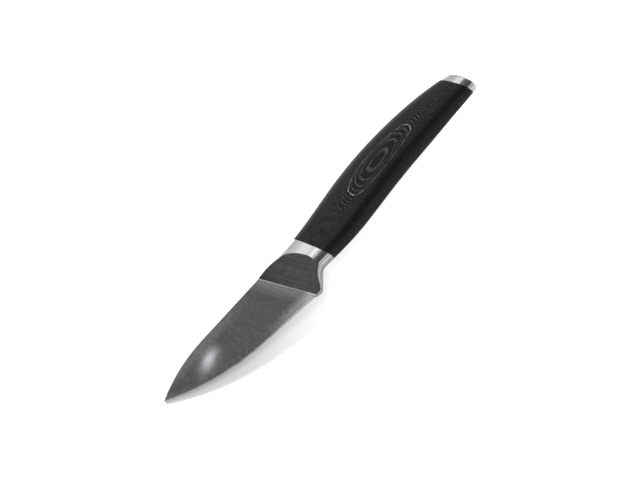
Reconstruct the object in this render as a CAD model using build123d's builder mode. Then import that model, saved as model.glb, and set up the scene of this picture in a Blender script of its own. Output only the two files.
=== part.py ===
# Paring knife with a hidden tang, a polished oval bolster and a slanted end cap.
# Units are millimetres. The knife lies on its right side with the blade level:
# +X runs from the tip to the butt, +Y from the cutting edge to the spine, +Z up.
# The origin is under the middle of the knife, on the surface that the grip rests on.
import os
from math import asin, cos, radians, sin, sqrt, tan

from build123d import *

os.makedirs("parts", exist_ok=True)

# Overall sizes. Heights are measured in Y from a line through the tip.
blade_length = 79.4
grip_length = 110.6
spine_rise = 8.1
heel_depth = 16.85
grip_top = 15.05
grip_belly = 10.2
grip_thickness = 12.5

# Blade
spine_tilt = 1.3
point_length = 30.0
edge_tilt = 4.3
straight_edge_length = 32.4
spine_thickness = 1.9
edge_thickness = 0.5
point_thinning = 0.35
bevel_width = 2.0
cut_edge_thickness = 0.08

# Plunge line, where the ground blade meets the ricasso
plunge_slant = 25.2
plunge_ahead_of_heel = 2.9

# Bolster: its flat cheeks open out from the ricasso to the oval collar, and its
# underside runs down a hollow ramp, the choil, to the heel
ricasso_thickness = 2.4
ledge_width = 0.6
cheek_angle = 14.2
heel_radius = 1.5
choil_angle = 45.5
choil_radius = 7.0
choil_reach = 1.0
choil_depth = 5.0
keel_height = 17.5
keel_inset = 0.2
keel_run = 6.0
collar_run = 14.6
collar_lift = 2.5
bolster_seam_from_heel = 11.0
bolster_seam_slant = 18.3

# Grip section, an oval: a narrow flat on each side, on which the knife lies steady,
# then a broad arc each way and a round arc over each end
end_radius_share = 0.95
side_flat_share = 0.25

# Tang
tang_thickness = 1.8
tongue_spine_inset = 3.5
tongue_edge_inset = 7.0
tang_root_width = 10.0
tang_tip_width = 6.0
tang_root_rise = 0.2
tang_tip_rise = 4.2
tang_tip_in_cap = 2.0

# Bedding of the tang, and the dowels through it
bedding_thickness = 0.3
dowel_diameter = 3.0
dowel_length = 8.0
dowel_gap = 0.05

# End cap
cap_seam_from_butt = 4.6
cap_seam_slant = 23.0
butt_radius = 28.0
butt_centre_drop = 7.0
butt_low_point = 2.2

# Cuts run past the faces that they start or end on by this much
overrun = 2.0

# Stations of the grip's outer form: place behind the heel as a share of grip_length,
# top as a share of grip_top, underside as a share of grip_belly, thickness as a share
# of grip_thickness
grip_station_shares = [
    (0.005, 0.565, 0.975, 0.760),
    (0.096, 0.605, 0.980, 0.800),
    (0.222, 0.738, 1.000, 0.896),
    (0.362, 0.900, 0.882, 0.976),
    (0.570, 1.000, 0.627, 1.000),
    (0.779, 0.920, 0.470, 0.936),
    (0.919, 0.747, 0.373, 0.848),
    (1.020, 0.580, 0.285, 0.790),
]
cap_rim_share = 0.25
collar_front_shares = (0.548, 0.955, 0.740)
dowel_shares = (0.27, 0.72)

# Places worked out from the sizes
tip_x = -(blade_length + grip_length) / 2
heel_x = tip_x + blade_length
butt_x = heel_x + grip_length
tip_y = (heel_depth - grip_top) / 2
heel_y = tip_y - heel_depth
mid_z = grip_thickness / 2
middle = Plane.XY.offset(mid_z)
blade_height = spine_rise + heel_depth


def spine_y(x):
    """Height of the straight spine line at x."""
    return tip_y + spine_rise - (heel_x - x) * tan(radians(spine_tilt))


def edge_y(x):
    """Height of the straight part of the cutting edge at x."""
    return heel_y + (heel_x - x) * tan(radians(edge_tilt))


def plunge_point(y):
    """Point at height y on the plunge line, which leans to the tip as it rises."""
    return (heel_x - plunge_ahead_of_heel - (y - heel_y) * tan(radians(plunge_slant)), y)


def cap_seam_x(y):
    """Place of the seam in front of the end cap, at height y."""
    return butt_x - cap_seam_from_butt - (y - tip_y) * tan(radians(cap_seam_slant))


def cross_plane(x, y):
    """Plane across the knife at x, with its local x along Y and its local y along Z."""
    return Plane(origin=(x, y, mid_z), x_dir=(0, 1, 0), z_dir=(1, 0, 0))


def seam_plane(x, slant):
    """Upright plane through x at the tip's height, its lower end leaning to the butt."""
    normal = (cos(radians(slant)), sin(radians(slant)), 0)
    return Plane(origin=(x, tip_y, mid_z), x_dir=(0, 0, 1), z_dir=normal)


def oval_face(height, thickness):
    """Oval of tangent arcs with a flat on each side, its height along local x."""
    half_height = height / 2
    half_thickness = thickness / 2
    half_flat = side_flat_share * (half_height - half_thickness)
    end_radius = end_radius_share * half_thickness
    reach = half_height - half_flat - end_radius
    rise = half_thickness - end_radius
    side_radius = (reach**2 + half_thickness**2 - end_radius**2) / (2 * rise)
    turn_y = half_flat + reach + end_radius * reach / (side_radius - end_radius)
    turn_z = end_radius * (side_radius - half_thickness) / (side_radius - end_radius)
    half_turn = asin((turn_y - half_flat) / side_radius) / 2
    side_y = half_flat + side_radius * sin(half_turn)
    side_z = half_thickness - side_radius * (1 - cos(half_turn))
    with BuildLine() as outline:
        Line((-half_flat, half_thickness), (half_flat, half_thickness))
        ThreePointArc((half_flat, half_thickness), (side_y, side_z), (turn_y, turn_z))
        ThreePointArc((turn_y, turn_z), (half_height, 0), (turn_y, -turn_z))
        ThreePointArc((turn_y, -turn_z), (side_y, -side_z), (half_flat, -half_thickness))
        Line((half_flat, -half_thickness), (-half_flat, -half_thickness))
        ThreePointArc((-half_flat, -half_thickness), (-side_y, -side_z), (-turn_y, -turn_z))
        ThreePointArc((-turn_y, -turn_z), (-half_height, 0), (-turn_y, turn_z))
        ThreePointArc((-turn_y, turn_z), (-side_y, side_z), (-half_flat, half_thickness))
    return make_face(outline.edges(), mode=Mode.PRIVATE)


bolster_seam = seam_plane(heel_x + bolster_seam_from_heel, bolster_seam_slant)
cap_seam = seam_plane(butt_x - cap_seam_from_butt, cap_seam_slant)

# Outer form of the grip, from ahead of the plunge line to past the butt.
# The bolster, both handle halves and the end cap are cut from it, so their faces
# run into each other at the seams.
front_x = plunge_point(spine_y(heel_x))[0] - overrun
stations = [(front_x, *collar_front_shares)]
for along_share, top_share, belly_share, thickness_share in grip_station_shares:
    stations.append((heel_x + along_share * grip_length, top_share, belly_share, thickness_share))

with BuildPart() as grip_form:
    for station_x, top_share, belly_share, thickness_share in stations:
        top_y = tip_y + top_share * grip_top
        belly_y = tip_y - belly_share * grip_belly
        with BuildSketch(cross_plane(station_x, (top_y + belly_y) / 2)):
            add(oval_face(top_y - belly_y, thickness_share * grip_thickness))
    loft()

# Places on the blade's outline
heel_point = (heel_x, heel_y)
edge_turn = (heel_x - straight_edge_length, edge_y(heel_x - straight_edge_length))
spine_turn = (tip_x + point_length, spine_y(tip_x + point_length))
tip_point = (tip_x, tip_y)
spine_heading = (-cos(radians(spine_tilt)), -sin(radians(spine_tilt)))
edge_heading = (-cos(radians(edge_tilt)), sin(radians(edge_tilt)))
plunge_fall = tan(radians(plunge_slant))
edge_fall = tan(radians(edge_tilt))
spine_fall = tan(radians(spine_tilt))
foot_rise = plunge_ahead_of_heel * edge_fall / (1 - plunge_fall * edge_fall)
top_rise = (blade_height - plunge_ahead_of_heel * spine_fall) / (1 + plunge_fall * spine_fall)
plunge_foot = plunge_point(heel_y + foot_rise)
plunge_top = plunge_point(heel_y + top_rise)

# Tang: a wide tongue inside the bolster, then a straight tapered bar along the
# middle of the grip that ends in a slot in the end cap
tang_root_x = heel_x + bolster_seam_from_heel - tang_root_width / 2
tang_root_y = tip_y + tang_root_rise
tang_tip_y = tip_y + tang_tip_rise
tang_tip_low = tang_tip_y - tang_tip_width / 2
tang_tip_high = tang_tip_y + tang_tip_width / 2
tang_points = [
    plunge_point(tip_y + spine_rise - tongue_spine_inset),
    plunge_point(heel_y + tongue_edge_inset),
    (tang_root_x, tang_root_y - tang_root_width / 2),
    (cap_seam_x(tang_tip_low) + tang_tip_in_cap, tang_tip_low),
    (cap_seam_x(tang_tip_high) + tang_tip_in_cap, tang_tip_high),
    (tang_root_x, tang_root_y + tang_root_width / 2),
]

# Places of the dowels, on the tang's centre line
tang_run = cap_seam_x(tang_tip_y) - tang_root_x
dowel_places = []
for share in dowel_shares:
    dowel_y = tang_root_y + share * (tang_tip_y - tang_root_y)
    dowel_places.append((tang_root_x + share * tang_run, dowel_y))

# The blade's ground faces are flat. Each half gains grind_slope with every millimetre
# from edge to spine, and taper_slope with every millimetre from the tip to the heel.
grind_slope = (spine_thickness - edge_thickness) / 2 / blade_height
taper_slope = point_thinning / blade_length

# Path and section of the cutting bevel
with BuildLine(middle) as edge_line:
    Line(heel_point, edge_turn)
    TangentArc(edge_turn, tip_point, tangent=edge_heading)

with BuildPart() as bevel_form:
    bevel_half = edge_thickness / 2 + grind_slope * bevel_width
    bevel_slope = (bevel_half - cut_edge_thickness / 2) / bevel_width
    edge_square = Plane(
        origin=(*heel_point, mid_z),
        x_dir=(sin(radians(edge_tilt)), cos(radians(edge_tilt)), 0),
        z_dir=(*edge_heading, 0),
    )
    for side in (1, -1):
        with BuildSketch(edge_square):
            with BuildLine():
                Polyline(
                    (-overrun, side * (cut_edge_thickness / 2 - overrun * bevel_slope)),
                    (bevel_width, side * bevel_half),
                    (-overrun, side * spine_thickness),
                    close=True,
                )
            make_face()
        sweep(path=edge_line.wire())

# Blade: outline cut from sheet, ground flat on both sides, with a cutting bevel and a
# stick tang behind the plunge line
with BuildPart() as blade:
    with BuildSketch(middle):
        with BuildLine():
            Line(plunge_foot, edge_turn)
            TangentArc(edge_turn, tip_point, tangent=edge_heading)
            TangentArc(spine_turn, tip_point, tangent=spine_heading)
            Line(spine_turn, plunge_top)
            Line(plunge_top, plunge_foot)
        make_face()
    extrude(amount=spine_thickness, both=True)
    for side in (1, -1):
        ground_face = Plane(
            origin=(heel_x, heel_y, mid_z + side * edge_thickness / 2),
            z_dir=(-taper_slope, -grind_slope, side),
        )
        split(bisect_by=ground_face, keep=Keep.BOTTOM)
    add(bevel_form.part, mode=Mode.SUBTRACT)
    with BuildSketch(middle):
        with BuildLine():
            Polyline(*tang_points, close=True)
        make_face()
    extrude(amount=tang_thickness / 2, both=True)
    with BuildSketch(middle):
        with Locations(*dowel_places):
            Circle(dowel_diameter / 2 + dowel_gap)
    extrude(amount=tang_thickness, both=True, mode=Mode.SUBTRACT)

# Keel of the bolster: the collar's oval carried down the choil to below the heel
_, collar_belly_share, collar_thickness_share = collar_front_shares
keel_y = tip_y - collar_belly_share * grip_belly + keel_inset
keel_thickness = collar_thickness_share * grip_thickness - keel_inset
ramp_x = heel_x + choil_reach
ramp_corner_x = ramp_x + (keel_y - heel_y) / tan(radians(choil_angle))
ramp_corner = (ramp_corner_x, keel_y)
ramp_end = (ramp_x - choil_depth / tan(radians(choil_angle)), heel_y - choil_depth)
keel_start = (ramp_corner_x + keel_run, keel_y)

with BuildLine(middle) as keel_line:
    FilletPolyline(keel_start, ramp_corner, ramp_end, radius=choil_radius)

with BuildPart() as keel_form:
    keel_square = Plane(origin=(*keel_start, mid_z), x_dir=(0, 1, 0), z_dir=(-1, 0, 0))
    with BuildSketch(keel_square):
        with Locations((keel_height / 2, 0)):
            add(oval_face(keel_height, keel_thickness))
    sweep(path=keel_line.wire())

# Cheeks: a wedge that widens behind the plunge line, with a small ledge at its front
with BuildPart() as cheek_form:
    plunge_square = Plane(
        origin=(*plunge_point(tip_y), mid_z),
        x_dir=(cos(radians(plunge_slant)), sin(radians(plunge_slant)), 0),
        z_dir=(-sin(radians(plunge_slant)), cos(radians(plunge_slant)), 0),
    )
    cheek_run = (grip_thickness - ricasso_thickness) / 2 / tan(radians(cheek_angle))
    with BuildSketch(plunge_square):
        with BuildLine():
            Polyline(
                (0, spine_thickness / 2),
                (ledge_width, ricasso_thickness / 2),
                (ledge_width + cheek_run, grip_thickness / 2),
                (grip_length, grip_thickness / 2),
                (grip_length, -grip_thickness / 2),
                (ledge_width + cheek_run, -grip_thickness / 2),
                (ledge_width, -ricasso_thickness / 2),
                (0, -spine_thickness / 2),
                close=True,
            )
        make_face()
    extrude(amount=blade_length, both=True)

# Bolster: the oval collar and its keel, cut by the cheeks, by the straight lines of
# the spine and the edge, and by an arc that lifts the spine line to the collar
spine_end = (heel_x, spine_y(heel_x))
collar_end = (heel_x + collar_run, spine_y(heel_x) + collar_lift)
back_x = heel_x + collar_run + overrun
with BuildPart() as bolster:
    add(grip_form.part)
    add(keel_form.part)
    split(bisect_by=bolster_seam, keep=Keep.BOTTOM)
    add(cheek_form.part, mode=Mode.INTERSECT)
    with BuildSketch(middle):
        with BuildLine():
            Polyline(
                spine_end,
                (front_x, spine_y(front_x)),
                (front_x, edge_y(front_x)),
                (back_x, edge_y(back_x)),
                collar_end,
            )
            TangentArc(spine_end, collar_end, tangent=(cos(radians(spine_tilt)), sin(radians(spine_tilt))))
        make_face()
    extrude(amount=grip_thickness, both=True, mode=Mode.INTERSECT)
    heel_corner = bolster.edges().sort_by_distance((ramp_x, heel_y, mid_z))[0]
    fillet(heel_corner, radius=heel_radius)
    add(blade.part, mode=Mode.SUBTRACT)

# Pocket that the two handle halves leave round the tang
with BuildPart() as pocket_form:
    with BuildSketch(middle):
        with BuildLine():
            Polyline(*tang_points, close=True)
        make_face()
        offset(amount=bedding_thickness, kind=Kind.INTERSECTION)
    extrude(amount=tang_thickness / 2 + bedding_thickness, both=True)
    split(bisect_by=bolster_seam, keep=Keep.TOP)
    split(bisect_by=cap_seam, keep=Keep.BOTTOM)

# Two hidden dowels that pin the halves to each other through the tang
with BuildPart() as locating_dowels:
    with BuildSketch(middle):
        with Locations(*dowel_places):
            Circle(dowel_diameter / 2)
    extrude(amount=dowel_length / 2, both=True)

with BuildPart() as dowel_holes:
    with BuildSketch(middle):
        with Locations(*dowel_places):
            Circle(dowel_diameter / 2 + dowel_gap)
    extrude(amount=dowel_length / 2 + dowel_gap, both=True)

# Bedding: the cured resin between the tang and the halves
with BuildPart() as tang_bedding:
    add(pocket_form.part)
    add(blade.part, mode=Mode.SUBTRACT)
    add(dowel_holes.part, mode=Mode.SUBTRACT)

# Handle halves: black laminate, split along the blade's middle plane
for name, kept_side in (("handle_half_left", Keep.TOP), ("handle_half_right", Keep.BOTTOM)):
    with BuildPart() as handle_half:
        add(grip_form.part)
        split(bisect_by=bolster_seam, keep=Keep.TOP)
        split(bisect_by=cap_seam, keep=Keep.BOTTOM)
        split(bisect_by=middle, keep=kept_side)
        add(pocket_form.part, mode=Mode.SUBTRACT)
        add(dowel_holes.part, mode=Mode.SUBTRACT)
    handle_half.part.label = name
    export_step(handle_half.part, f"parts/{name}.step")

# End cap: a slanted slice of the grip with a domed end and a slot for the tang.
# The dome reaches the knife's full length at butt_low_point below the tip's height.
low_point_rise = butt_centre_drop - butt_low_point
butt_centre_x = butt_x - sqrt(butt_radius**2 - low_point_rise**2)
butt_top_rise = grip_station_shares[-1][1] * grip_top
dome_top_x = butt_centre_x + sqrt(butt_radius**2 - (butt_centre_drop + butt_top_rise) ** 2)
cap_top_length = dome_top_x - cap_seam_x(tip_y + butt_top_rise)
with BuildPart() as end_cap:
    add(grip_form.part)
    split(bisect_by=cap_seam, keep=Keep.TOP)
    with BuildSketch(middle):
        with Locations((butt_centre_x, tip_y - butt_centre_drop)):
            Circle(butt_radius)
    extrude(amount=grip_thickness, both=True, mode=Mode.INTERSECT)
    dome_face = end_cap.faces().filter_by(GeomType.CYLINDER)[0]
    fillet(dome_face.edges(), radius=cap_rim_share * cap_top_length)
    add(blade.part, mode=Mode.SUBTRACT)

blade.part.label = "blade"
bolster.part.label = "bolster"
tang_bedding.part.label = "tang_bedding"
locating_dowels.part.label = "locating_dowels"
end_cap.part.label = "end_cap"
for piece in (blade, bolster, tang_bedding, locating_dowels, end_cap):
    export_step(piece.part, f"parts/{piece.part.label}.step")
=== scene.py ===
from math import atan2, cos, pi, radians, sin, tan

import bmesh
import bpy
from bpy.props import FloatProperty, FloatVectorProperty, PointerProperty
from mathutils import Matrix, Vector

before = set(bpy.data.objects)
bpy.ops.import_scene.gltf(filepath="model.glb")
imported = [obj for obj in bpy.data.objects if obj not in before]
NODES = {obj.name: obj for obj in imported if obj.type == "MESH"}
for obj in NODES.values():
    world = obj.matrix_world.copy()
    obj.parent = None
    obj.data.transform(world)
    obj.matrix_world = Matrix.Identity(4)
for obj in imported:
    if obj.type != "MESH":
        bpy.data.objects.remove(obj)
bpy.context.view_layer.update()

bl_info = {
    "name": "Paring knife",
    "version": (1, 0, 0),
    "blender": (4, 5, 0),
    "location": "3D View > Sidebar > Knife",
    "description": "Finishes and studio for a paring knife with a laminated grip",
    "category": "Object",
}

MM = 0.001

# Places and slopes on the solids that the finishes follow, from the sizes in their source
MIDDLE_Z = 6.25 * MM
HEEL_X, HEEL_Y = -15.6 * MM, -15.95 * MM
BLADE_HEIGHT = 24.95 * MM
EDGE_TILT = radians(4.3)
SPINE_TILT = radians(1.3)
PLUNGE_SLANT = radians(25.2)
PLUNGE_AHEAD = 2.9 * MM
TIP_X, TIP_Y = -95 * MM, 0.9 * MM
STRAIGHT_EDGE = 32.4 * MM
BEVEL_SLOPE = 0.133
CUT_EDGE_HALF = 0.04 * MM
CHEEK_ANGLE = radians(14.2)

# Directions of the belt's lines, turned from +X
BLADE_GRIND = radians(103.4)
CHEEK_GRIND = radians(90) + PLUNGE_SLANT


def linear(code):
    """Linear RGB from an sRGB hex value such as 8a8a8c."""
    parts = [int(code[i : i + 2], 16) / 255 for i in (0, 2, 4)]
    return tuple(p / 12.92 if p <= 0.04045 else ((p + 0.055) / 1.055) ** 2.4 for p in parts)


# Sizes and colours that a user would change


def colour_setting(name, description, code):
    return FloatVectorProperty(
        name=name, description=description, default=linear(code), size=3, min=0, max=1, subtype="COLOR"
    )


def length_setting(name, description, default):
    return FloatProperty(
        name=name, description=description, default=default, min=0, unit="LENGTH", precision=5
    )


class KnifeFinishSettings(bpy.types.PropertyGroup):
    blade_colour: colour_setting("Blade", "Satin-ground blade steel", "737375")
    bevel_colour: colour_setting("Bevel", "Honed cutting bevel", "8c8c8e")
    ricasso_colour: colour_setting("Ricasso", "Satin cheeks of the bolster", "5e5e60")
    plunge_colour: colour_setting("Plunge line", "Ledge where the blade meets the bolster", "97989b")
    polish_colour: colour_setting("Polish", "Polished stainless collar and end cap", "d8d8d9")
    laminate_colour: colour_setting("Laminate", "Black resin-bonded fabric laminate", "0a0a0b")
    thread_colour: colour_setting("Threads", "Cut thread ends along a ply", "a5a5a6")
    dowel_colour: colour_setting("Dowels", "Stainless wire of the hidden dowels", "9a9a9c")
    resin_colour: colour_setting("Resin", "Cured resin round the hidden tang", "3a342c")
    grind_spacing: length_setting("Grind lines", "Spacing of the grind lines on the blade", 0.35 * MM)
    cheek_spacing: length_setting("Cheek lines", "Spacing of the grind lines on the cheeks", 0.8 * MM)
    draw_spacing: length_setting("Drawing lines", "Spacing of the lines along the dowels", 0.2 * MM)
    ply_rise: length_setting("Ply", "Height from one ply's line to the next", 0.045 * MM)
    thread_spacing: length_setting("Thread", "Spacing of the threads in a ply", 0.9 * MM)


class KnifeStudioSettings(bpy.types.PropertyGroup):
    floor_colour: colour_setting("Floor", "Pale floor", "f4f4f4")
    floor_size: length_setting("Floor size", "Side of the square floor", 4.0)
    key_power: FloatProperty(
        name="Key", description="Power of the key lamp", default=8.5, min=0, unit="POWER"
    )


# Materials


def add_node(tree, kind, sockets=None, **settings):
    """Adds a node, sets its properties, then sets or links its sockets by name or number."""
    made = tree.nodes.new(kind)
    for key, value in settings.items():
        setattr(made, key, value)
    for key, value in (sockets or {}).items():
        socket = made.inputs[key]
        if isinstance(value, bpy.types.NodeSocket):
            tree.links.new(value, socket)
        else:
            socket.default_value = value
    return made


def new_material(name):
    """A new material with nothing in it but an output; returns it, its tree and the output."""
    material = bpy.data.materials.new(name)
    material.use_nodes = True
    material.node_tree.nodes.clear()
    output = add_node(material.node_tree, "ShaderNodeOutputMaterial")
    return material, material.node_tree, output


def height_off_middle(tree, axes):
    """How far a point lies from the knife's middle plane, on either side."""
    rise = add_node(tree, "ShaderNodeMath", {0: axes["Z"], 1: MIDDLE_Z}, operation="SUBTRACT").outputs[0]
    return add_node(tree, "ShaderNodeMath", {0: rise}, operation="ABSOLUTE").outputs[0]


def painted_border_sheen(tree, place, inward, border, start, end, level, fade="SMOOTHSTEP"):
    """A painted sheen along a straight border, at its full level up to start and gone at end.

    Both are distances in from the border, which is given by a point on it.
    """
    border_line = inward.dot(border)
    off = add_node(
        tree, "ShaderNodeVectorMath", {0: place, 1: inward}, operation="DOT_PRODUCT"
    ).outputs["Value"]
    return add_node(
        tree,
        "ShaderNodeMapRange",
        {
            "Value": off,
            "From Min": border_line + start,
            "From Max": border_line + end,
            "To Min": level,
            "To Max": 0.0,
        },
        interpolation_type=fade,
    ).outputs["Result"]


def painted_blade_sheen(tree, place):
    """How bright each part of the blade is painted: plain in the middle, and more towards its borders.

    The steel is painted brighter ahead of the plunge line, along the edge at
    the heel and under the spine towards the tip, partly as painted reflection and partly
    as the steel's own lighter finish. The cutting edge is painted brightest, a painted highlight.
    """
    heel = Vector((HEEL_X, HEEL_Y, 0))
    axes = add_node(tree, "ShaderNodeSeparateXYZ", {"Vector": place}).outputs

    # Painted sheen ahead of the plunge line
    plunge = painted_border_sheen(
        tree,
        place,
        inward=Vector((-cos(PLUNGE_SLANT), -sin(PLUNGE_SLANT), 0)),
        border=heel - Vector((PLUNGE_AHEAD, 0, 0)),
        start=0.0,
        end=5.5 * MM,
        level=0.7,
        fade="LINEAR",
    )

    # Painted sheen along the edge, more and more towards the heel
    edge = painted_border_sheen(
        tree,
        place,
        inward=Vector((sin(EDGE_TILT), cos(EDGE_TILT), 0)),
        border=heel,
        start=0.5 * MM,
        end=6 * MM,
        level=1.9,
    )
    near_heel = add_node(
        tree,
        "ShaderNodeMapRange",
        {"Value": axes["X"], "From Min": -50 * MM, "From Max": -18 * MM},
        interpolation_type="SMOOTHSTEP",
    ).outputs["Result"]
    glow = add_node(
        tree, "ShaderNodeMath", {0: edge, 1: near_heel, 2: plunge}, operation="MULTIPLY_ADD"
    ).outputs[0]

    # Painted sheen under the spine, more and more towards the tip
    spine = painted_border_sheen(
        tree,
        place,
        inward=Vector((sin(SPINE_TILT), -cos(SPINE_TILT), 0)),
        border=heel + Vector((0, BLADE_HEIGHT, 0)),
        start=2 * MM,
        end=6 * MM,
        level=0.4,
    )
    near_tip = add_node(
        tree,
        "ShaderNodeMapRange",
        {"Value": axes["X"], "From Min": -30 * MM, "From Max": -62 * MM},
        interpolation_type="SMOOTHSTEP",
    ).outputs["Result"]
    glow = add_node(
        tree, "ShaderNodeMath", {0: spine, 1: near_tip, 2: glow}, operation="MULTIPLY_ADD"
    ).outputs[0]

    # The cutting edge, where the steel is thinnest, gets a painted highlight, and the rest is plain
    plain, edge_highlight = 0.7, 3.2
    keen_half, blunt_half = 0.05 * MM, 0.17 * MM
    by_thickness = add_node(
        tree,
        "ShaderNodeMapRange",
        {
            "Value": height_off_middle(tree, axes),
            "From Min": keen_half,
            "From Max": blunt_half,
            "To Min": edge_highlight,
            "To Max": plain,
        },
    ).outputs["Result"]
    return add_node(tree, "ShaderNodeMath", {0: glow, 1: by_thickness}, operation="ADD").outputs[0]


def scratch_lines(tree, place, line_angle, spacing):
    """Parallel scratches in one direction, as noise drawn out along them."""
    scratch_length = 25 * spacing
    turned = add_node(
        tree, "ShaderNodeMapping", {"Vector": place, "Rotation": (0, 0, -line_angle)}
    ).outputs[0]
    drawn_out = add_node(
        tree,
        "ShaderNodeMapping",
        {"Vector": turned, "Scale": (1 / scratch_length, 1 / spacing, 1 / spacing)},
    ).outputs[0]
    return add_node(
        tree, "ShaderNodeTexNoise", {"Vector": drawn_out, "Scale": 1.0, "Detail": 3.0, "Roughness": 0.6}
    ).outputs["Fac"]


def ground_steel(name, colour, roughness, line_angle, spacing, painted_light=None):
    """Stainless steel ground with an abrasive belt, or wire with the lines of its drawing.

    Fine parallel scratches catch the light, so the face looks grey and soft, its
    highlights are drawn out across the scratches, and its tone changes a little from
    one scratch to the next. Real scratches are too fine to show in the render, so they
    are drawn coarser.
    """
    scratch_depth = 0.01 * MM
    cloud_size = 1.4 * MM
    roughness_spread = 0.03
    brightest = (0.9, 0.9, 0.9)
    material, tree, output = new_material(name)
    place = add_node(tree, "ShaderNodeTexCoord").outputs["Object"]
    lines = scratch_lines(tree, place, line_angle, spacing)
    cloud = add_node(
        tree,
        "ShaderNodeTexNoise",
        {"Vector": place, "Scale": 1 / cloud_size, "Detail": 4.0, "Roughness": 0.7},
    ).outputs["Fac"]
    both = add_node(tree, "ShaderNodeMath", {0: lines, 1: cloud}, operation="MULTIPLY").outputs[0]
    shade = add_node(
        tree,
        "ShaderNodeMapRange",
        {"Value": both, "From Min": 0.12, "From Max": 0.42, "To Min": 0.72, "To Max": 1.32},
    ).outputs["Result"]
    # Where given, painted highlights brighten the steel's colour
    if painted_light:
        glow = painted_light(tree, place)
        shade = add_node(tree, "ShaderNodeMath", {0: shade, 1: glow}, operation="MULTIPLY").outputs[0]
    base = add_node(
        tree, "ShaderNodeVectorMath", {0: colour, "Scale": shade}, operation="SCALE"
    ).outputs["Vector"]
    base = add_node(
        tree, "ShaderNodeVectorMath", {0: base, 1: brightest}, operation="MINIMUM"
    ).outputs["Vector"]
    rough = add_node(
        tree,
        "ShaderNodeMapRange",
        {
            "Value": lines,
            "From Min": 0.3,
            "From Max": 0.7,
            "To Min": roughness - roughness_spread,
            "To Max": roughness + roughness_spread,
        },
    ).outputs["Result"]
    bump = add_node(
        tree, "ShaderNodeBump", {"Height": lines, "Strength": 0.12, "Distance": scratch_depth}
    ).outputs[0]
    around = add_node(tree, "ShaderNodeTangent", direction_type="RADIAL", axis="X").outputs["Tangent"]
    shader = add_node(
        tree,
        "ShaderNodeBsdfPrincipled",
        {
            "Base Color": base,
            "Metallic": 1.0,
            "Roughness": rough,
            "Anisotropic": 0.83,
            "Anisotropic Rotation": line_angle / (2 * pi),
            "Tangent": around,
            "Normal": bump,
        },
    )
    tree.links.new(shader.outputs["BSDF"], output.inputs["Surface"])
    return material


def polished_steel(name, colour, roughness):
    """Stainless steel buffed on a wheel.

    It mirrors the studio, a little blurred, with faint buffing haze that the
    eye sees as a soft edge round each reflection.
    """
    haze_size = 3.846 * MM
    wave_size, wave_depth = 8.333 * MM, 0.02 * MM
    roughness_spread = 0.03
    material, tree, output = new_material(name)
    place = add_node(tree, "ShaderNodeTexCoord").outputs["Object"]
    haze = add_node(
        tree,
        "ShaderNodeTexNoise",
        {"Vector": place, "Scale": 1 / haze_size, "Detail": 3.0, "Roughness": 0.6},
    ).outputs["Fac"]
    rough = add_node(
        tree,
        "ShaderNodeMapRange",
        {
            "Value": haze,
            "From Min": 0.3,
            "From Max": 0.7,
            "To Min": roughness - roughness_spread,
            "To Max": roughness + roughness_spread,
        },
    ).outputs["Result"]
    shade = add_node(
        tree,
        "ShaderNodeMapRange",
        {"Value": haze, "From Min": 0.3, "From Max": 0.7, "To Min": 0.95, "To Max": 1.03},
    ).outputs["Result"]
    base = add_node(
        tree, "ShaderNodeVectorMath", {0: colour, "Scale": shade}, operation="SCALE"
    ).outputs["Vector"]
    wave = add_node(
        tree, "ShaderNodeTexNoise", {"Vector": place, "Scale": 1 / wave_size, "Detail": 1.0}
    ).outputs["Fac"]
    bump = add_node(
        tree, "ShaderNodeBump", {"Height": wave, "Strength": 0.3, "Distance": wave_depth}
    ).outputs["Normal"]
    shader = add_node(
        tree,
        "ShaderNodeBsdfPrincipled",
        {"Base Color": base, "Metallic": 1.0, "Roughness": rough, "Normal": bump},
    )
    tree.links.new(shader.outputs["BSDF"], output.inputs["Surface"])
    return material


def ply_lines(tree, place, ply_rise):
    """Contour lines where the plies come out: bright along one ply's ring, faint elsewhere."""
    ring_height = 6.08 * MM
    waver_size, waver_share = 20 * MM, 0.35
    axes = add_node(tree, "ShaderNodeSeparateXYZ", {"Vector": place}).outputs
    half = height_off_middle(tree, axes)
    waver = add_node(
        tree, "ShaderNodeTexNoise", {"Vector": place, "Scale": 1 / waver_size, "Detail": 2.0}
    ).outputs["Fac"]
    height = add_node(
        tree, "ShaderNodeMath", {0: waver, 1: waver_share * ply_rise, 2: half}, operation="MULTIPLY_ADD"
    ).outputs[0]

    # The plies are counted from the bright ring, and each has its line
    count = add_node(
        tree,
        "ShaderNodeMapRange",
        {"Value": height, "From Min": ring_height, "From Max": ring_height + ply_rise},
        clamp=False,
    ).outputs["Result"]
    off_line = add_node(tree, "ShaderNodeMath", {0: count, 1: 0.5}, operation="PINGPONG").outputs[0]
    line = add_node(
        tree,
        "ShaderNodeMapRange",
        {"Value": off_line, "From Min": 0.06, "From Max": 0.19, "To Min": 1.0, "To Max": 0.0},
        interpolation_type="SMOOTHSTEP",
    ).outputs["Result"]
    outside = add_node(
        tree,
        "ShaderNodeMapRange",
        {"Value": count, "From Min": -0.7, "From Max": -0.4, "To Min": 0.18, "To Max": 1.0},
    ).outputs["Result"]
    inside = add_node(
        tree,
        "ShaderNodeMapRange",
        {"Value": count, "From Min": 0.4, "From Max": 0.7, "To Min": 1.0, "To Max": 0.2},
    ).outputs["Result"]
    ring = add_node(tree, "ShaderNodeMath", {0: outside, 1: inside}, operation="MULTIPLY").outputs[0]
    return add_node(tree, "ShaderNodeMath", {0: line, 1: ring}, operation="MULTIPLY").outputs[0]


def thread_ends(tree, place, spacing):
    """Threads cut across, which break a ply's line into dots."""
    cells = add_node(
        tree,
        "ShaderNodeTexVoronoi",
        {"Vector": place, "Scale": 1 / spacing, "Randomness": 0.3},
        voronoi_dimensions="2D",
    ).outputs["Distance"]
    return add_node(
        tree,
        "ShaderNodeMapRange",
        {"Value": cells, "From Min": 0.25, "From Max": 0.5, "To Min": 1.3, "To Max": 0.1},
        interpolation_type="SMOOTHSTEP",
    ).outputs["Result"]


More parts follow.
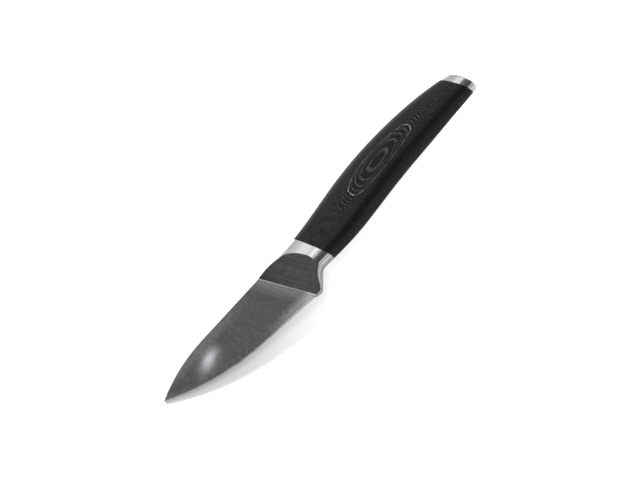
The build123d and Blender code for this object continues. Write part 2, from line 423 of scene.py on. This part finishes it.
def fabric_laminate(name, colour, thread, ply_rise, thread_spacing):
    """Black phenolic laminate: linen plies pressed with resin, shaped and sanded.

    Each ply comes out on the rounded side as a contour line, and the threads cut
    along it show as a row of small pale dots, brightest along the outer ring of the
    oval. The sanded surface is semi-matt. The lines lie closer in height than common
    plies are thick, to look like the photograph's rings. Real threads are about half
    as far apart, too fine to show in the render.
    """
    grain_size, grain_depth = 0.45 * MM, 0.03 * MM
    material, tree, output = new_material(name)
    place = add_node(tree, "ShaderNodeTexCoord").outputs["Object"]
    lines = ply_lines(tree, place, ply_rise)
    dots = thread_ends(tree, place, thread_spacing)
    share = add_node(tree, "ShaderNodeMath", {0: lines, 1: dots}, operation="MULTIPLY").outputs[0]

    # The resin between the threads has the grain of the sanding
    grain = add_node(
        tree, "ShaderNodeTexNoise", {"Vector": place, "Scale": 1 / grain_size, "Detail": 3.0}
    ).outputs["Fac"]
    shade = add_node(
        tree,
        "ShaderNodeMapRange",
        {"Value": grain, "From Min": 0.3, "From Max": 0.7, "To Min": 0.6, "To Max": 1.4},
    ).outputs["Result"]
    resin = add_node(
        tree, "ShaderNodeVectorMath", {0: colour, "Scale": shade}, operation="SCALE"
    ).outputs["Vector"]
    base = add_node(
        tree, "ShaderNodeMix", {0: share, 6: resin, 7: (*thread, 1.0)}, data_type="RGBA"
    ).outputs[2]
    rough = add_node(
        tree,
        "ShaderNodeMapRange",
        {"Value": grain, "From Min": 0.3, "From Max": 0.7, "To Min": 0.32, "To Max": 0.44},
    ).outputs["Result"]
    bump = add_node(
        tree, "ShaderNodeBump", {"Height": grain, "Strength": 0.3, "Distance": grain_depth}
    ).outputs[0]
    shader = add_node(
        tree,
        "ShaderNodeBsdfPrincipled",
        {"Base Color": base, "Roughness": rough, "Specular IOR Level": 0.27, "Normal": bump},
    )
    tree.links.new(shader.outputs["BSDF"], output.inputs["Surface"])
    return material


def cured_resin(name, colour):
    """Epoxy resin, poured and cured: dark and glossy, with a cloudy depth to the eye."""
    cloud_size = 2.5 * MM
    material, tree, output = new_material(name)
    place = add_node(tree, "ShaderNodeTexCoord").outputs["Object"]
    cloud = add_node(tree, "ShaderNodeTexNoise", {"Vector": place, "Scale": 1 / cloud_size}).outputs["Fac"]
    shade = add_node(
        tree, "ShaderNodeMapRange", {"Value": cloud, "To Min": 0.7, "To Max": 1.3}
    ).outputs["Result"]
    base = add_node(
        tree, "ShaderNodeVectorMath", {0: colour, "Scale": shade}, operation="SCALE"
    ).outputs["Vector"]
    shader = add_node(tree, "ShaderNodeBsdfPrincipled", {"Base Color": base, "Roughness": 0.35})
    tree.links.new(shader.outputs["BSDF"], output.inputs["Surface"])
    return material


def dress(node, *materials):
    """Puts these materials in the slots of a carried-over solid."""
    mesh = NODES[node].data
    mesh.materials.clear()
    for material in materials:
        mesh.materials.append(material)
    return mesh


# The pieces


def edge_die():
    """A die whose V-shaped mouth follows the curved edge, to cut its bevel with.

    It reaches deep in from the edge, wide out past it and high above and below it.
    """
    clear_of_turn, past_tip = 0.01 * MM, 2 * MM
    deep, wide, high = 3.6 * MM, 2 * MM, 1.5 * MM
    stations = 60
    inward = Vector((sin(EDGE_TILT), cos(EDGE_TILT)))
    turn = Vector((HEEL_X - STRAIGHT_EDGE, HEEL_Y + STRAIGHT_EDGE * tan(EDGE_TILT)))
    reach = Vector((TIP_X, TIP_Y)) - turn
    radius = reach.length_squared / (2 * reach.dot(inward))
    centre = turn + inward * radius
    first = atan2(turn.y - centre.y, turn.x - centre.x) + clear_of_turn / radius
    last = atan2(TIP_Y - centre.y, TIP_X - centre.x) - past_tip / radius
    mouth = CUT_EDGE_HALF + BEVEL_SLOPE * deep
    section = (
        (radius + wide, high),
        (radius - deep, high),
        (radius - deep, mouth),
        (radius + CUT_EDGE_HALF / BEVEL_SLOPE, 0),
        (radius - deep, -mouth),
        (radius - deep, -high),
        (radius + wide, -high),
    )
    made = bmesh.new()
    rings = []
    for step in range(stations + 1):
        angle = first + (last - first) * step / stations
        rings.append([
            made.verts.new((centre.x + r * cos(angle), centre.y + r * sin(angle), MIDDLE_Z + z))
            for r, z in section
        ])
    for ring, after in zip(rings, rings[1:]):
        for i in range(len(section)):
            j = (i + 1) % len(section)
            made.faces.new((ring[i], ring[j], after[j], after[i]))
    made.faces.new(rings[0])
    made.faces.new(reversed(rings[-1]))
    bmesh.ops.triangulate(made, faces=[f for f in made.faces if len(f.verts) > 4])
    bmesh.ops.recalc_face_normals(made, faces=made.faces)
    mesh = bpy.data.meshes.new("edge die")
    made.to_mesh(mesh)
    made.free()
    for face in mesh.polygons:
        face.material_index = 1
    return bpy.data.objects.new("edge die", mesh)


class KNIFE_OT_blade(bpy.types.Operator):
    """Finish the blade: satin-ground faces and a honed cutting bevel, with painted highlights towards its
    borders
    """

    bl_idname = "knife.blade"
    bl_label = "Blade"

    def execute(self, context):
        finish = context.scene.knife_finish
        satin = ground_steel(
            "Stainless steel, belt-ground satin",
            tuple(finish.blade_colour),
            roughness=0.33,
            line_angle=BLADE_GRIND,
            spacing=finish.grind_spacing,
            painted_light=painted_blade_sheen,
        )
        honed = ground_steel(
            "Stainless steel, honed edge",
            tuple(finish.bevel_colour),
            roughness=0.27,
            line_angle=BLADE_GRIND,
            spacing=finish.grind_spacing,
            painted_light=painted_blade_sheen,
        )
        mesh = dress("blade", satin, honed)
        # A face of the bevel leans more than the blade's own faces, and less than its rims.
        # Behind the blade's end there is only the tang, which has no bevel.
        most_lean, least_lean = 0.9, 0.9965
        blade_end = -14 * MM
        for face in mesh.polygons:
            leans = most_lean < abs(face.normal.z) < least_lean
            face.material_index = 1 if leans and face.center.x < blade_end else 0
        # The solid has its bevel along the straight edge, and this carries it on to the tip
        bevel = NODES["blade"].modifiers.new("bevel to the tip", "BOOLEAN")
        bevel.operation = "DIFFERENCE"
        bevel.solver = "EXACT"
        bevel.material_mode = "INDEX"
        bevel.object = edge_die()
        return {"FINISHED"}


class KNIFE_OT_bolster(bpy.types.Operator):
    """Finish the bolster: satin cheeks, with the collar and the choil polished"""

    bl_idname = "knife.bolster"
    bl_label = "Bolster"

    def execute(self, context):
        finish = context.scene.knife_finish
        polish = polished_steel(
            "Stainless steel, buffed bright", tuple(finish.polish_colour), roughness=0.10
        )
        satin = ground_steel(
            "Stainless steel, belt-ground cheeks",
            tuple(finish.ricasso_colour),
            roughness=0.32,
            line_angle=CHEEK_GRIND,
            spacing=finish.cheek_spacing,
        )
        # The ledge takes the blade's painted highlights as well
        ledge = ground_steel(
            "Stainless steel, ground plunge line",
            tuple(finish.plunge_colour),
            roughness=0.30,
            line_angle=CHEEK_GRIND,
            spacing=finish.grind_spacing,
            painted_light=painted_blade_sheen,
        )
        mesh = dress("bolster", polish, satin, ledge)
        to_butt = Vector((cos(PLUNGE_SLANT), sin(PLUNGE_SLANT), 0))
        line = to_butt.dot(Vector((HEEL_X - PLUNGE_AHEAD, HEEL_Y, 0)))
        cheek = cos(CHEEK_ANGLE) * Vector((0, 0, 1)) - sin(CHEEK_ANGLE) * to_butt
        within = radians(0.6)
        ledge_reach, ledge_lean = 0.5 * MM, 0.2
        # The cheeks are the flats at the cheek angle, and the ledge runs along the plunge line
        for face in mesh.polygons:
            normal = face.normal.copy()
            normal.z = abs(normal.z)
            behind_line = to_butt.dot(face.center) - line
            if normal.angle(cheek) < within:
                face.material_index = 1
            elif behind_line < ledge_reach and normal.z > ledge_lean:
                face.material_index = 2
        return {"FINISHED"}


class KNIFE_OT_handle(bpy.types.Operator):
    """Finish both handle halves in black fabric laminate"""

    bl_idname = "knife.handle"
    bl_label = "Handle"

    def execute(self, context):
        finish = context.scene.knife_finish
        laminate = fabric_laminate(
            "Black linen phenolic, sanded",
            tuple(finish.laminate_colour),
            tuple(finish.thread_colour),
            finish.ply_rise,
            finish.thread_spacing,
        )
        dress("handle_half_left", laminate)
        dress("handle_half_right", laminate)
        return {"FINISHED"}


class KNIFE_OT_end_cap(bpy.types.Operator):
    """Finish the end cap"""

    bl_idname = "knife.end_cap"
    bl_label = "End cap"

    def execute(self, context):
        finish = context.scene.knife_finish
        polish = polished_steel(
            "Stainless steel, buffed cap", tuple(finish.polish_colour), roughness=0.16
        )
        dress("end_cap", polish)
        return {"FINISHED"}


class KNIFE_OT_hidden_pieces(bpy.types.Operator):
    """Finish the dowels and the resin round the tang, which the handle hides"""

    bl_idname = "knife.hidden_pieces"
    bl_label = "Hidden pieces"

    def execute(self, context):
        finish = context.scene.knife_finish
        wire = ground_steel(
            "Stainless wire, drawn",
            tuple(finish.dowel_colour),
            roughness=0.35,
            line_angle=0.0,
            spacing=finish.draw_spacing,
        )
        dress("locating_dowels", wire)
        dress("tang_bedding", cured_resin("Epoxy resin, cured", tuple(finish.resin_colour)))
        return {"FINISHED"}


# The studio

# What the knife mirrors, as levels of light by the angle in degrees across the knife: -90
# is level with the floor beyond the cutting edge, 0 is overhead, 90 is beyond the spine.
# These are a pale wall, a dark side behind the camera, a soft box past the zenith with a
# dimmer gap in it, and a wall beyond the spine.
MIDDLE_BANDS = (
    (-90, 0.56), (-68, 0.64), (-61, 0.64),
    (-52, 0.08), (-20, 0.10), (-3, 0.17), (9, 0.25),
    (14, 1.38), (17.5, 1.38), (19, 0.80), (21, 0.80), (23, 1.1), (28, 1.1), (33, 0.84),
    (40, 0.66), (76, 0.64), (90, 0.50),
)
# Towards the tip there is no soft box, and the wall beyond the spine is dimmer
TIP_BANDS = (
    (-90, 0.60), (-61, 0.66),
    (-52, 0.09), (0, 0.12), (20, 0.22),
    (60, 0.35), (90, 0.45),
)


def light_bands(tree, share, bands):
    """The bands' light, by the share of the way from the first angle to the last."""
    ramp = add_node(tree, "ShaderNodeValToRGB", {"Fac": share})
    stops = ramp.color_ramp.elements
    while len(stops) < len(bands):
        stops.new(0.5)
    first, last = bands[0][0], bands[-1][0]
    for stop, (angle, level) in zip(stops, bands):
        stop.position = (angle - first) / (last - first)
        stop.color = (level, level, level, 1)
    return ramp.outputs["Color"]


def camera_matrix(right, up, back, place):
    """Camera's matrix from its three axes and its place."""
    turn = Matrix((right, up, back)).transposed().to_4x4()
    return Matrix.Translation(place) @ turn


def area_lamp(name, place, target, size, power, mirrored):
    """A soft lamp that faces its target and isn't seen by the camera."""
    data = bpy.data.lights.new(name, "AREA")
    data.shape = "DISK"
    data.size = size
    data.energy = power
    lamp = bpy.data.objects.new(name, data)
    lamp.location = place
    lamp.rotation_euler = (target - place).to_track_quat("-Z", "Y").to_euler()
    lamp.visible_camera = False
    lamp.visible_glossy = mirrored
    bpy.context.scene.collection.objects.link(lamp)
    return lamp


class KNIFE_OT_stage(bpy.types.Operator):
    """Lay the floor under the knife and set up the lamps, the world and the camera"""

    bl_idname = "knife.stage"
    bl_label = "Stage"

    def execute(self, context):
        studio = context.scene.knife_studio
        self.lay_floor(studio)
        self.set_world(context.scene)
        self.set_lamps(studio)
        self.set_camera(context.scene)
        context.scene.view_settings.view_transform = "Standard"
        return {"FINISHED"}

    def lay_floor(self, studio):
        """The knife lies on its grip and its tip, so the floor rises a little to the tip."""
        tip_zone, past_point, clearance = 0.1 * MM, 5 * MM, 0.02 * MM
        corners = [v.co for name in NODES for v in NODES[name].data.vertices]
        tip = min(corners, key=lambda c: c.x)
        tip_z = min(c.z for c in corners if c.x < tip.x + tip_zone)
        slope = min((c.z - tip_z) / (c.x - tip.x) for c in corners if c.x > tip.x + past_point)
        half = studio.floor_size / 2
        mesh = bpy.data.meshes.new("floor")
        made = bmesh.new()
        for x, y in ((-half, -half), (half, -half), (half, half), (-half, half)):
            made.verts.new((x, y, tip_z + slope * (x - tip.x) - clearance))
        made.faces.new(made.verts)
        made.to_mesh(mesh)
        made.free()
        floor = bpy.data.objects.new("floor", mesh)
        bpy.context.scene.collection.objects.link(floor)
        mesh.materials.append(self.floor_material(studio))

    def floor_material(self, studio):
        """White card, matt and seamless, with a grain almost too faint to see, and an uneven painted glow.
        """
        grain_size = 1.25 * MM
        material, tree, output = new_material("White card, seamless")
        grain = add_node(tree, "ShaderNodeTexNoise", {"Scale": 1 / grain_size}).outputs["Fac"]
        shade = add_node(
            tree, "ShaderNodeMapRange", {"Value": grain, "To Min": 0.99, "To Max": 1.0}
        ).outputs["Result"]
        base = add_node(
            tree,
            "ShaderNodeVectorMath",
            {0: tuple(studio.floor_colour), "Scale": shade},
            operation="SCALE",
        ).outputs["Vector"]
        shader = add_node(
            tree,
            "ShaderNodeBsdfPrincipled",
            {
                "Base Color": base,
                "Roughness": 0.9,
                "Specular IOR Level": 0.0,
                "Emission Color": (1, 1, 1, 1),
                "Emission Strength": self.floor_glow(tree),
            },
        )
        tree.links.new(shader.outputs["BSDF"], output.inputs["Surface"])
        return material

    def floor_glow(self, tree):
        """How much the floor glows, for the camera and a little for mirrors.

        It makes the floor read as white all over while it still takes the knife's shadow.
        It is uneven, a painted light: least round the blade's point, which leaves the shadow
        there darkest, and most by the grip, where it lights away the grip's shadow.
        """
        point_x, grip_x = -90 * MM, 28 * MM
        near, far = 140 * MM, 300 * MM
        least, by_grip, mirrored = 0.2, 0.86, 0.12
        path = add_node(tree, "ShaderNodeLightPath").outputs
        seen = add_node(
            tree,
            "ShaderNodeMath",
            {0: path["Is Camera Ray"], 1: path["Is Transmission Ray"]},
            operation="MAXIMUM",
        ).outputs["Value"]
        place = add_node(tree, "ShaderNodeTexCoord").outputs["Object"]
        along = add_node(tree, "ShaderNodeSeparateXYZ", {"Vector": place}).outputs["X"]
        # Painted light: the glow rises from the blade's point to the grip
        level = add_node(
            tree,
            "ShaderNodeMapRange",
            {"Value": along, "From Min": point_x, "From Max": grip_x, "To Min": least, "To Max": by_grip},
            interpolation_type="SMOOTHSTEP",
        ).outputs["Result"]
        away = add_node(tree, "ShaderNodeVectorMath", {0: place}, operation="LENGTH").outputs["Value"]
        far_level = add_node(
            tree,
            "ShaderNodeMapRange",
            {"Value": away, "From Min": near, "From Max": far, "To Min": least, "To Max": 1.0},
            interpolation_type="SMOOTHSTEP",
        ).outputs["Result"]
        level = add_node(
            tree, "ShaderNodeMath", {0: level, 1: far_level}, operation="MAXIMUM"
        ).outputs["Value"]
        direct = add_node(tree, "ShaderNodeMath", {0: seen, 1: level}, operation="MULTIPLY").outputs["Value"]
        return add_node(
            tree,
            "ShaderNodeMath",
            {0: path["Is Glossy Ray"], 1: mirrored, 2: direct},
            operation="MULTIPLY_ADD",
        ).outputs["Value"]

    def set_world(self, scene):
        """A white studio to the camera. To everything else, the bands above, with a white
        card beyond the tip."""
        white, card_white = (1, 1, 1, 1), (0.85, 0.85, 0.85, 1)
        # Where each starts and is full, as the X of a direction of one unit
        tip_start, tip_full = -0.06, -0.35
        card_start, card_full = -0.40, -0.54
        world = bpy.data.worlds.new("studio")
        scene.world = world
        world.use_nodes = True
        tree = world.node_tree
        tree.nodes.clear()
        output = add_node(tree, "ShaderNodeOutputWorld")
        ray = add_node(tree, "ShaderNodeTexCoord").outputs["Generated"]
        axes = add_node(tree, "ShaderNodeSeparateXYZ", {"Vector": ray}).outputs
        across = add_node(
            tree, "ShaderNodeMath", {0: axes["Y"], 1: axes["Z"]}, operation="ARCTAN2"
        ).outputs["Value"]
        share = add_node(
            tree, "ShaderNodeMapRange", {"Value": across, "From Min": -pi / 2, "From Max": pi / 2}
        ).outputs["Result"]
        middle = light_bands(tree, share, MIDDLE_BANDS)
        tip = light_bands(tree, share, TIP_BANDS)
        to_tip = add_node(
            tree,
            "ShaderNodeMapRange",
            {"Value": axes["X"], "From Min": tip_start, "From Max": tip_full},
            interpolation_type="SMOOTHSTEP",
        ).outputs["Result"]
        around = add_node(
            tree, "ShaderNodeMix", {0: to_tip, 6: middle, 7: tip}, data_type="RGBA"
        ).outputs[2]
        card = add_node(
            tree,
            "ShaderNodeMapRange",
            {"Value": axes["X"], "From Min": card_start, "From Max": card_full},
            interpolation_type="SMOOTHSTEP",
        ).outputs["Result"]
        mixed = add_node(
            tree, "ShaderNodeMix", {0: card, 6: around, 7: card_white}, data_type="RGBA"
        ).outputs[2]
        studio_light = add_node(tree, "ShaderNodeBackground", {"Color": mixed, "Strength": 1.0})
        backdrop = add_node(tree, "ShaderNodeBackground", {"Color": white, "Strength": 1.0})
        seen = add_node(tree, "ShaderNodeLightPath").outputs["Is Camera Ray"]
        chosen = add_node(
            tree,
            "ShaderNodeMixShader",
            {0: seen, 1: studio_light.outputs["Background"], 2: backdrop.outputs["Background"]},
        )
        tree.links.new(chosen.outputs["Shader"], output.inputs["Surface"])

    def set_lamps(self, studio):
        """A low soft key lamp beyond the spine, and a small one close over the blade.

        Mirrors see the studio's bands and not the key lamp. The small lamp makes the
        highlight on the blade.
        """
        area_lamp(
            "key lamp",
            place=Vector((-50, 640, 230)) * MM,
            target=Vector((-40, 0, 0)) * MM,
            size=120 * MM,
            power=studio.key_power,
            mirrored=False,
        )
        spot = Vector((-69.6, -0.4, 6.65)) * MM
        away = Vector((0.079, 0.354, 0.932))
        small_lamp = area_lamp(
            "small lamp",
            place=spot + 25 * MM * away,
            target=spot,
            size=3 * MM,
            power=0.000065,
            mirrored=True,
        )
        small_lamp.data.spread = radians(40)

    def set_camera(self, scene):
        """The photograph's view: over the cutting edge, with the knife rising to the right."""
        distance = 866.7 * MM
        data = bpy.data.cameras.new("camera")
        data.lens = 114.5
        data.sensor_width = 36.0
        data.clip_start = 10 * MM
        camera = bpy.data.objects.new("camera", data)
        # Its axes and target, fitted to the photograph's outline
        right = Vector((0.6908, -0.6829, -0.2379))
        back = Vector((-0.0872, -0.4052, 0.9101)).normalized()
        right = (right - right.dot(back) * back).normalized()
        up = back.cross(right)
        target = Vector((0.43, 0.99, 6.25)) * MM
        camera.matrix_world = camera_matrix(right, up, back, target + back * distance)
        scene.collection.objects.link(camera)
        scene.camera = camera


class KNIFE_PT_panel(bpy.types.Panel):
    """Lists the knife's pieces, its finishes and the studio"""

    bl_idname = "KNIFE_PT_panel"
    bl_label = "Paring knife"
    bl_space_type = "VIEW_3D"
    bl_region_type = "UI"
    bl_category = "Knife"

    def draw(self, context):
        for operator in OPERATORS:
            self.layout.operator(operator.bl_idname)
        for group in (context.scene.knife_finish, context.scene.knife_studio):
            box = self.layout.box()
            for name in group.__annotations__:
                box.prop(group, name)


OPERATORS = (
    KNIFE_OT_blade,
    KNIFE_OT_bolster,
    KNIFE_OT_handle,
    KNIFE_OT_end_cap,
    KNIFE_OT_hidden_pieces,
    KNIFE_OT_stage,
)
CLASSES = (KnifeFinishSettings, KnifeStudioSettings, *OPERATORS, KNIFE_PT_panel)


def register():
    for cls in CLASSES:
        bpy.utils.register_class(cls)
    bpy.types.Scene.knife_finish = PointerProperty(type=KnifeFinishSettings)
    bpy.types.Scene.knife_studio = PointerProperty(type=KnifeStudioSettings)


def unregister():
    del bpy.types.Scene.knife_studio
    del bpy.types.Scene.knife_finish
    for cls in reversed(CLASSES):
        bpy.utils.unregister_class(cls)


def main():
    register()
    bpy.ops.knife.blade()
    bpy.ops.knife.bolster()
    bpy.ops.knife.handle()
    bpy.ops.knife.end_cap()
    bpy.ops.knife.hidden_pieces()
    bpy.ops.knife.stage()


if __name__ == "__main__":
    main()
